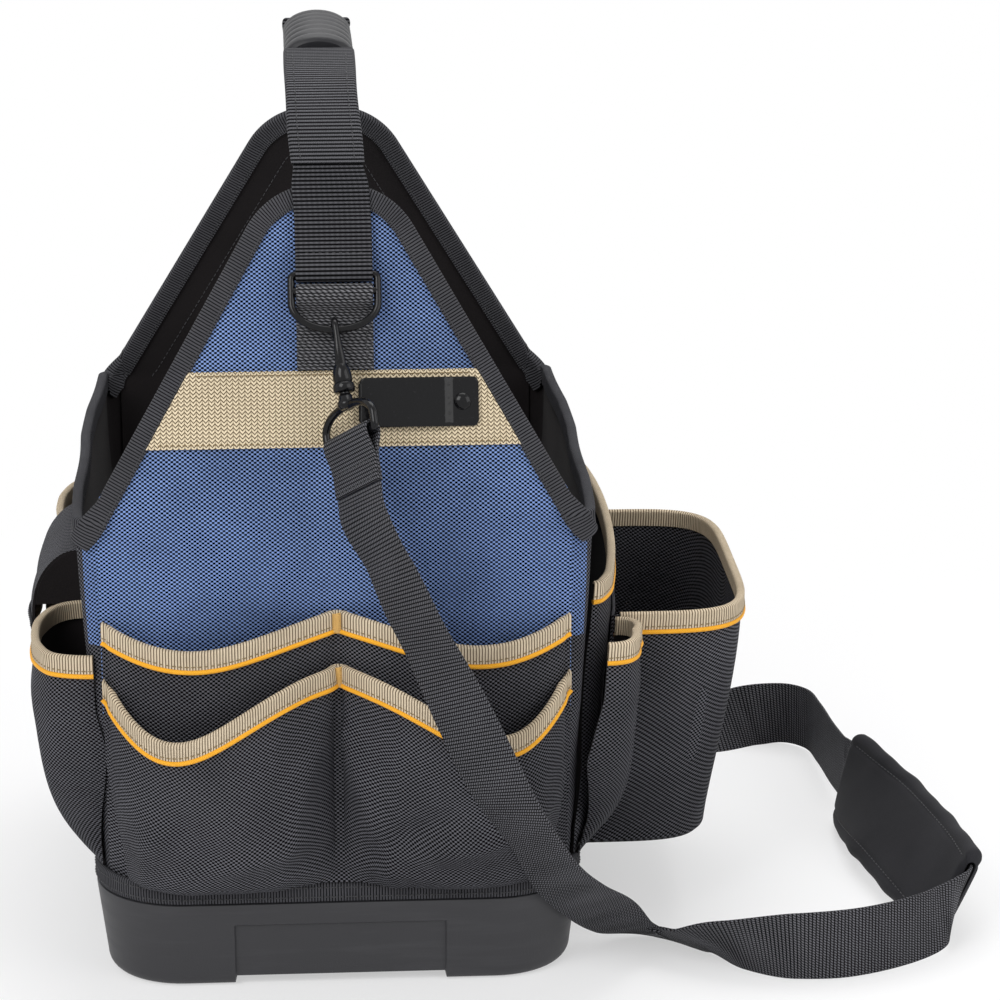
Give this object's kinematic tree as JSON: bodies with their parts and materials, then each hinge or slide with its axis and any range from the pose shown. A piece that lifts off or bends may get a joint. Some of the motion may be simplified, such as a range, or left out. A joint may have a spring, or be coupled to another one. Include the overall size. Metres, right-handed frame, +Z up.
{
  "type": "tool bag",
  "caption": "Open-top soft tool carrier with a moulded base, two leaning gables, a gripped carry handle, pockets all round and a clip-on padded shoulder strap.",
  "frame": {"origin": "on the floor under the middle of the bag in plan, its side pockets included and the shoulder strap left out", "axes": "+X across a gable towards the side with the box pocket, +Y from the near gable to the far gable, +Z up"},
  "size_m": [0.4921, 0.4363, 0.4829],
  "materials": {
    "base_plastic": "moulded matt black plastic",
    "black_tape": "ribbed black binding tape",
    "board": "plain stiff board",
    "black_cloth": "coarse woven black cloth",
    "tan_tape": "ribbed tan binding tape",
    "webbing": "ribbed black webbing",
    "black_steel": "glossy black coated steel",
    "blue_cloth": "coarse woven blue cloth",
    "rubber": "soft matt black rubber"
  },
  "bodies": {
    "bag_body": {"base_tub": "base_plastic", "base_tape": "black_tape", "bottom_board": "board", "left_wall": "black_cloth", "left_wall_tape": "black_tape", "right_wall": "black_cloth", "right_wall_tape": "black_tape", "near_band": "tan_tape", "near_ring_anchor": "webbing", "tape_clip": "black_steel", "tape_rivet": "black_steel", "near_d_ring": "black_steel", "near_gable": "blue_cloth", "near_gable_tape": "black_tape", "near_upper_pocket": "black_cloth", "near_upper_pocket_tape": "tan_tape", "near_lower_pocket": "black_cloth", "near_lower_pocket_tape": "tan_tape", "far_band": "tan_tape", "far_ring_anchor": "webbing", "far_d_ring": "black_steel", "far_gable": "blue_cloth", "far_gable_tape": "black_tape", "far_upper_pocket": "black_cloth", "far_upper_pocket_tape": "tan_tape", "far_lower_pocket": "black_cloth", "far_lower_pocket_tape": "tan_tape", "handle_webbing": "webbing", "near_handle_wrap": "webbing", "far_handle_wrap": "webbing", "handle_grip": "rubber", "left_front_pocket": "black_cloth", "left_front_pocket_tape": "tan_tape", "left_mid_pocket": "black_cloth", "left_mid_pocket_tape": "tan_tape", "left_rear_pocket": "black_cloth", "left_rear_pocket_tape": "tan_tape", "right_tall_pocket": "black_cloth", "right_tall_pocket_tape": "tan_tape", "right_corner_pocket": "black_cloth", "right_corner_pocket_tape": "tan_tape", "right_box_pocket": "black_cloth", "right_box_pocket_tape": "tan_tape", "chain_tab": "black_tape", "strap_front_run": "webbing", "strap_rear_run": "webbing", "shoulder_pad": "rubber"},
    "near_hook_body": {"near_hook": "black_steel"},
    "near_gate_body": {"near_hook_gate": "black_steel"},
    "near_eye_body": {"near_hook_eye": "black_steel", "near_strap_loop": "webbing"},
    "far_hook_body": {"far_hook": "black_steel"},
    "far_gate_body": {"far_hook_gate": "black_steel"},
    "far_eye_body": {"far_hook_eye": "black_steel", "far_strap_loop": "webbing"},
    "flap_body": {"left_flap": "black_cloth"},
    "link_1_body": {"chain_link_1": "black_steel"},
    "link_2_body": {"chain_link_2": "black_steel"},
    "link_3_body": {"chain_link_3": "black_steel"},
    "link_4_body": {"chain_link_4": "black_steel"}
  },
  "joints": [
    {"name": "near_hook_swing", "type": "hinge", "parent": "bag_body", "child": "near_hook_body", "pos_m": [-0.02773, -0.13652, 0.34421], "axis": [-1, 0, 0], "range_deg": [0, 40], "deforming": ["strap_front_run"]},
    {"name": "near_gate_open", "type": "hinge", "parent": "near_hook_body", "child": "near_gate_body", "pos_m": [-0.02561, -0.14195, 0.3274], "axis": [0.9925, 0.0609, 0.1055], "range_deg": [0, 16], "stiffness_Nm_per_rad": 0.01},
    {"name": "near_eye_swivel", "type": "hinge", "parent": "near_hook_body", "child": "near_eye_body", "pos_m": [-0.02377, -0.15265, 0.31627], "axis": [-0.1219, 0.4963, 0.8596], "range_deg": [-15, 15]},
    {"name": "far_hook_swing", "type": "hinge", "parent": "bag_body", "child": "far_hook_body", "pos_m": [-0.02773, 0.13652, 0.34421], "axis": [1, 0, 0], "range_deg": [0, 40], "deforming": ["strap_rear_run"]},
    {"name": "far_gate_open", "type": "hinge", "parent": "far_hook_body", "child": "far_gate_body", "pos_m": [-0.02561, 0.14195, 0.3274], "axis": [-0.9925, 0.0609, -0.1055], "range_deg": [0, 16], "stiffness_Nm_per_rad": 0.01},
    {"name": "far_eye_swivel", "type": "hinge", "parent": "far_hook_body", "child": "far_eye_body", "pos_m": [-0.02377, 0.15265, 0.31627], "axis": [-0.1219, -0.4963, 0.8596], "range_deg": [-15, 15]},
    {"name": "flap_lift", "type": "hinge", "parent": "bag_body", "child": "flap_body", "pos_m": [-0.15906, -0.009, 0.206], "axis": [0, 1, 0], "range_deg": [0, 65]},
    {"name": "link_1_swing", "type": "hinge", "parent": "bag_body", "child": "link_1_body", "pos_m": [0.11505, 0.104, 0.2036], "axis": [0, -1, 0], "range_deg": [0, 15]},
    {"name": "link_2_swing", "type": "hinge", "parent": "link_1_body", "child": "link_2_body", "pos_m": [0.11505, 0.104, 0.1963], "axis": [0, -1, 0], "range_deg": [0, 15]},
    {"name": "link_3_swing", "type": "hinge", "parent": "link_2_body", "child": "link_3_body", "pos_m": [0.11505, 0.104, 0.189], "axis": [0, -1, 0], "range_deg": [0, 15]},
    {"name": "link_4_swing", "type": "hinge", "parent": "link_3_body", "child": "link_4_body", "pos_m": [0.11505, 0.104, 0.1817], "axis": [0, -1, 0], "range_deg": [0, 15]}
  ]
}
